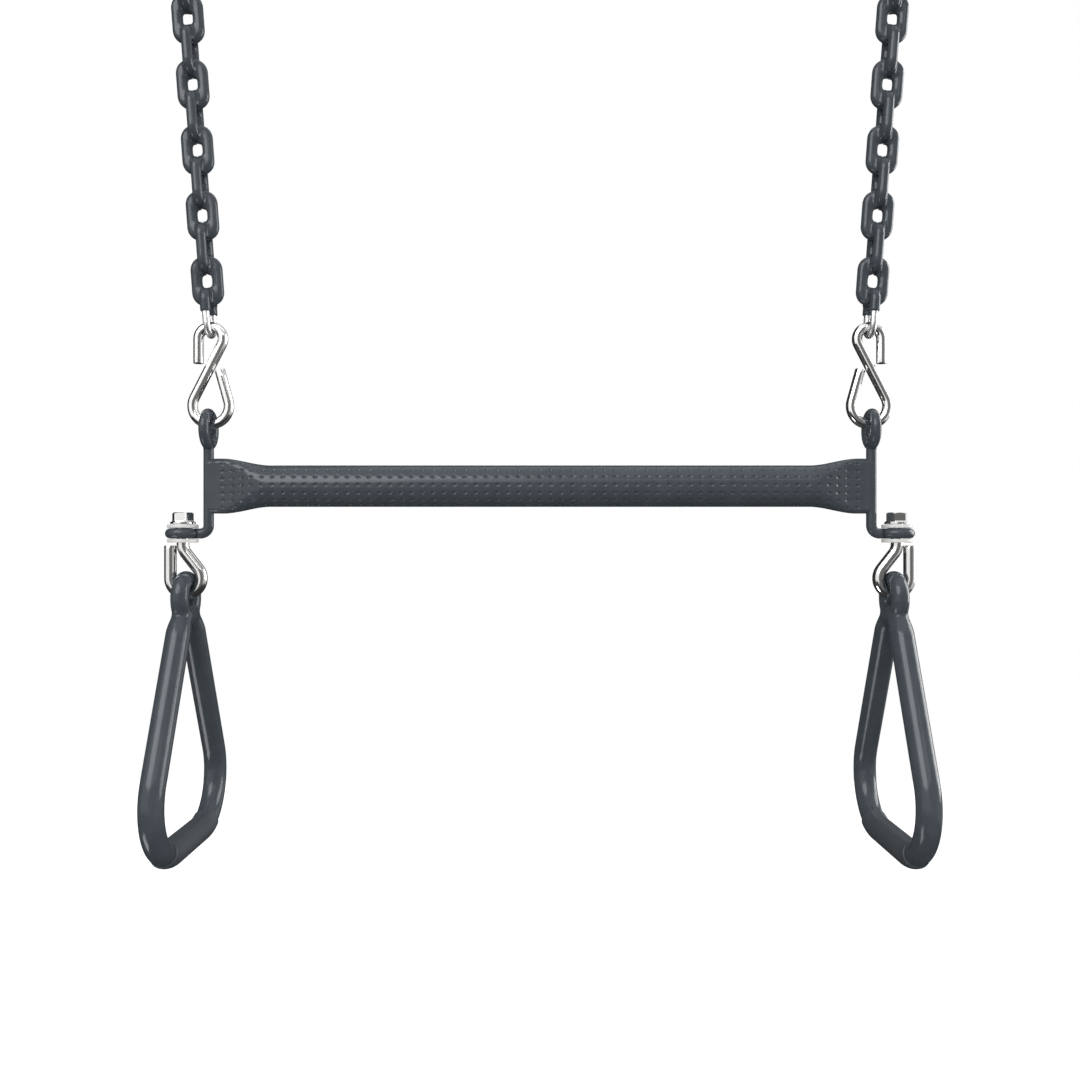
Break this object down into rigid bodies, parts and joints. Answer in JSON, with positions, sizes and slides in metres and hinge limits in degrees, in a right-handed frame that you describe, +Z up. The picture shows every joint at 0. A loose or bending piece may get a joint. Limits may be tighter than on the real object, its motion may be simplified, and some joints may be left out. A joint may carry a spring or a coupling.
{
  "type": "trapeze bar",
  "caption": "Straight coated bar with pressed ends on bent rods, hung by S-hooks and coated chains, with a triangular ring handle on a swivel hook below each end.",
  "frame": {"origin": "midway between the points where the two top hooks bear on what holds them", "axes": "+X along the bar, -Y towards the viewer, +Z up"},
  "size_m": [0.5808, 0.1636, 0.7529],
  "materials": {
    "coated_steel": "gloss",
    "grip_vinyl": "satin",
    "bright_steel": "polished",
    "white_nylon": "satin"
  },
  "bodies": {
    "beam_hooks": {"left_upper_s_hook": "bright_steel", "right_upper_s_hook": "bright_steel"},
    "chain_row_1": {"left_chain_link_1": "coated_steel", "right_chain_link_1": "coated_steel"},
    "chain_row_2": {"left_chain_link_2": "coated_steel", "right_chain_link_2": "coated_steel"},
    "chain_row_3": {"left_chain_link_3": "coated_steel", "right_chain_link_3": "coated_steel"},
    "chain_row_4": {"left_chain_link_4": "coated_steel", "right_chain_link_4": "coated_steel"},
    "chain_row_5": {"left_chain_link_5": "coated_steel", "right_chain_link_5": "coated_steel"},
    "chain_row_6": {"left_chain_link_6": "coated_steel", "right_chain_link_6": "coated_steel"},
    "chain_row_7": {"left_chain_link_7": "coated_steel", "right_chain_link_7": "coated_steel"},
    "chain_row_8": {"left_chain_link_8": "coated_steel", "right_chain_link_8": "coated_steel"},
    "chain_row_9": {"left_chain_link_9": "coated_steel", "right_chain_link_9": "coated_steel"},
    "chain_row_10": {"left_chain_link_10": "coated_steel", "right_chain_link_10": "coated_steel"},
    "chain_row_11": {"left_chain_link_11": "coated_steel", "right_chain_link_11": "coated_steel"},
    "s_hook_pair": {"left_lower_s_hook": "bright_steel", "right_lower_s_hook": "bright_steel"},
    "bar": {"bar_tube": "coated_steel", "left_hanger_rod": "coated_steel", "right_hanger_rod": "coated_steel"},
    "left_swivel": {"left_swivel_hook": "bright_steel", "left_flange_nut": "bright_steel", "left_upper_washer": "white_nylon", "left_lower_washer": "white_nylon"},
    "left_ring": {"left_ring_handle": "coated_steel", "left_ring_grip": "grip_vinyl"},
    "right_swivel": {"right_swivel_hook": "bright_steel", "right_flange_nut": "bright_steel", "right_upper_washer": "white_nylon", "right_lower_washer": "white_nylon"},
    "right_ring": {"right_ring_handle": "coated_steel", "right_ring_grip": "grip_vinyl"}
  },
  "joints": [
    {"name": "chain_row_1_hinge", "type": "hinge", "parent": "beam_hooks", "child": "chain_row_1", "pos_m": [0, 0, -0.0707], "axis": [1, 0, 0], "range_deg": [-40, 40]},
    {"name": "chain_row_2_hinge", "type": "hinge", "parent": "chain_row_1", "child": "chain_row_2", "pos_m": [0, 0, -0.08895], "axis": [1, 0, 0], "range_deg": [-15, 15]},
    {"name": "chain_row_3_hinge", "type": "hinge", "parent": "chain_row_2", "child": "chain_row_3", "pos_m": [0, 0, -0.12216], "axis": [1, 0, 0], "range_deg": [-15, 15]},
    {"name": "chain_row_4_hinge", "type": "hinge", "parent": "chain_row_3", "child": "chain_row_4", "pos_m": [0, 0, -0.13921], "axis": [1, 0, 0], "range_deg": [-15, 15]},
    {"name": "chain_row_5_hinge", "type": "hinge", "parent": "chain_row_4", "child": "chain_row_5", "pos_m": [0, 0, -0.17242], "axis": [1, 0, 0], "range_deg": [-15, 15]},
    {"name": "chain_row_6_hinge", "type": "hinge", "parent": "chain_row_5", "child": "chain_row_6", "pos_m": [0, 0, -0.18947], "axis": [1, 0, 0], "range_deg": [-15, 15]},
    {"name": "chain_row_7_hinge", "type": "hinge", "parent": "chain_row_6", "child": "chain_row_7", "pos_m": [0, 0, -0.22268], "axis": [1, 0, 0], "range_deg": [-15, 15]},
    {"name": "chain_row_8_hinge", "type": "hinge", "parent": "chain_row_7", "child": "chain_row_8", "pos_m": [0, 0, -0.23974], "axis": [1, 0, 0], "range_deg": [-15, 15]},
    {"name": "chain_row_9_hinge", "type": "hinge", "parent": "chain_row_8", "child": "chain_row_9", "pos_m": [0, 0, -0.27294], "axis": [1, 0, 0], "range_deg": [-15, 15]},
    {"name": "chain_row_10_hinge", "type": "hinge", "parent": "chain_row_9", "child": "chain_row_10", "pos_m": [0, 0, -0.29], "axis": [1, 0, 0], "range_deg": [-15, 15]},
    {"name": "chain_row_11_hinge", "type": "hinge", "parent": "chain_row_10", "child": "chain_row_11", "pos_m": [0, 0, -0.32321], "axis": [1, 0, 0], "range_deg": [-15, 15]},
    {"name": "s_hook_hinge", "type": "hinge", "parent": "chain_row_11", "child": "s_hook_pair", "pos_m": [0, 0, -0.34146], "axis": [1, 0, 0], "range_deg": [-15, 15]},
    {"name": "bar_hinge", "type": "hinge", "parent": "s_hook_pair", "child": "bar", "pos_m": [0, 0, -0.41606], "axis": [1, 0, 0], "range_deg": [-30, 30]},
    {"name": "left_swivel_spin", "type": "hinge", "parent": "bar", "child": "left_swivel", "pos_m": [-0.2737, 0, -0.49985], "axis": [0, 0, 1], "continuous": true},
    {"name": "left_ring_hinge", "type": "hinge", "parent": "left_swivel", "child": "left_ring", "pos_m": [-0.2714, 0, -0.54615], "axis": [1, 0, 0], "range_deg": [-60, 60]},
    {"name": "right_swivel_spin", "type": "hinge", "parent": "bar", "child": "right_swivel", "pos_m": [0.2737, 0, -0.49985], "axis": [0, 0, 1], "continuous": true},
    {"name": "right_ring_hinge", "type": "hinge", "parent": "right_swivel", "child": "right_ring", "pos_m": [0.2714, 0, -0.54615], "axis": [1, 0, 0], "range_deg": [-60, 60]}
  ]
}
